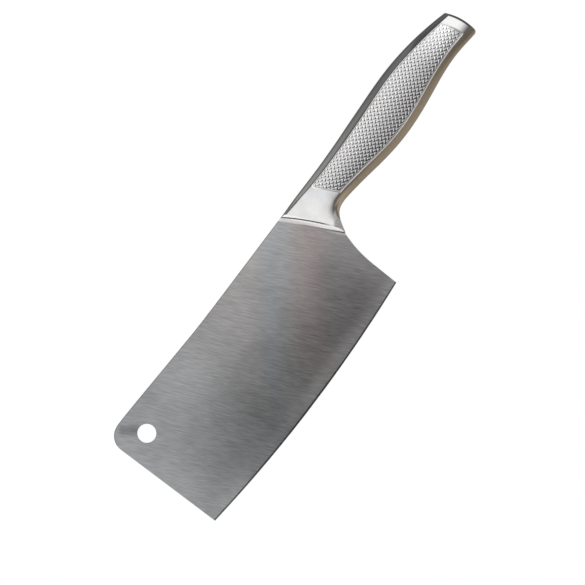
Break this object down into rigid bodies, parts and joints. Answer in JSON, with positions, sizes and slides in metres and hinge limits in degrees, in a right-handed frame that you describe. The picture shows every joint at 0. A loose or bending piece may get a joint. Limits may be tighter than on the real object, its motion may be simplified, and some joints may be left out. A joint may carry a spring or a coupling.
{
  "type": "chinese cleaver",
  "caption": "All-steel Chinese cleaver: ground rectangular blade with a hanging hole, welded to a hollow steel handle with recessed textured grip panels.",
  "frame": {"origin": "centre of the overall length and thickness, at the lowest place of the cutting edge", "axes": "+X from the blade's front end to the butt of the handle, +Y to the user's right when the blade points away, +Z from the cutting edge up to the spine"},
  "size_m": [0.29, 0.0178, 0.0758],
  "materials": {
    "blade_steel": "coarse ground, lines running from the spine down and back to the edge",
    "neck_steel": "polished, slightly soft",
    "handle_steel": "satin, with polished grip texture",
    "weight_iron": "as cast",
    "weld_steel": "ground flush with the handle"
  },
  "bodies": {
    "root": {"blade": "blade_steel", "bolster": "neck_steel", "handle_shell_left": "handle_steel", "handle_shell_right": "handle_steel", "butt_cap": "handle_steel", "balance_weight": "weight_iron", "spine_seam_weld": "weld_steel", "belly_seam_weld": "weld_steel", "neck_weld": "weld_steel", "butt_weld": "weld_steel"}
  },
  "joints": []
}
